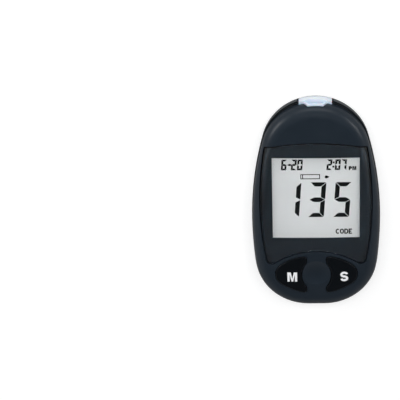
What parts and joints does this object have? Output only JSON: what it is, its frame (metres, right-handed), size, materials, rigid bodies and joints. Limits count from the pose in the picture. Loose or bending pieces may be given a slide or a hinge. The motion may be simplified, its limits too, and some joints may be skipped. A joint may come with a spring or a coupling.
{
  "type": "blood glucose meter",
  "caption": "Palm-sized meter with a rounded dark housing, a display behind a wide curved lens, crescent keys beside a round dish, a pale test strip port and a hinged battery door underneath.",
  "frame": {"origin": "middle of the footprint, on the surface that the feet stand on", "axes": "+Z out of the display, +Y towards the test strip port, +X to the right of the display"},
  "size_m": [0.062, 0.108, 0.0198],
  "materials": {
    "housing": "fine satin, dark blue-grey",
    "screws": "zinc plated",
    "feet": "matt",
    "label": "bare, with a clear film",
    "lens": "clear, hard coated",
    "mask": "printed dark border",
    "display_glass": "clear",
    "polariser": "silvery grey film",
    "reflector": "diffuse foil",
    "frame": "moulded white",
    "elastomer": "fine layers",
    "foam": "closed cell foam",
    "keys": "polished, near black",
    "silicone": "translucent grey",
    "port": "pale, slightly translucent",
    "connector": "moulded",
    "contacts": "gold plated",
    "board": "green solder mask",
    "chips": "moulded",
    "cans": "drawn can",
    "capacitors": "fired",
    "buzzer": "moulded",
    "jack": "moulded",
    "cell": "stamped",
    "holder": "moulded",
    "springs": "nickel plated"
  },
  "bodies": {
    "housing": {"front_shell": "housing", "back_shell": "housing", "case_screws": "screws", "rubber_feet": "feet", "back_label": "label", "display_lens": "lens", "lens_mask": "mask", "lcd_front_glass": "display_glass", "lcd_polariser": "polariser", "lcd_rear_glass": "display_glass", "lcd_reflector": "reflector", "lcd_frame": "frame", "upper_elastomer": "elastomer", "lower_elastomer": "elastomer", "display_gasket": "foam", "keypad_mat": "silicone", "memory_key_dome": "silicone", "set_key_dome": "silicone", "strip_port": "port", "strip_connector": "connector", "strip_contacts": "contacts", "main_board": "board", "board_screws": "screws", "microcontroller": "chips", "measuring_chip": "chips", "memory_chip": "chips", "watch_crystal": "cans", "board_capacitors": "capacitors", "buzzer": "buzzer", "data_jack": "jack", "data_jack_contacts": "contacts", "coin_cell": "cell", "battery_holder": "holder", "battery_negative_contact": "springs", "battery_positive_contact": "springs"},
    "memory_key": {"memory_key": "keys"},
    "set_key": {"set_key": "keys"},
    "battery_door": {"battery_door": "housing"}
  },
  "joints": [
    {"name": "memory_key_press", "type": "slide", "parent": "housing", "child": "memory_key", "axis": [0, 0, -1], "range_m": [0, 0.0007], "stiffness_N_per_m": 500, "springref_m": -0.0004, "deforming": ["memory_key_dome"]},
    {"name": "set_key_press", "type": "slide", "parent": "housing", "child": "set_key", "axis": [0, 0, -1], "range_m": [0, 0.0007], "stiffness_N_per_m": 500, "springref_m": -0.0004, "deforming": ["set_key_dome"]},
    {"name": "battery_door_hinge", "type": "hinge", "parent": "housing", "child": "battery_door", "pos_m": [0, 0.0038, 0.0018], "axis": [1, 0, 0], "range_deg": [0, 75]}
  ]
}
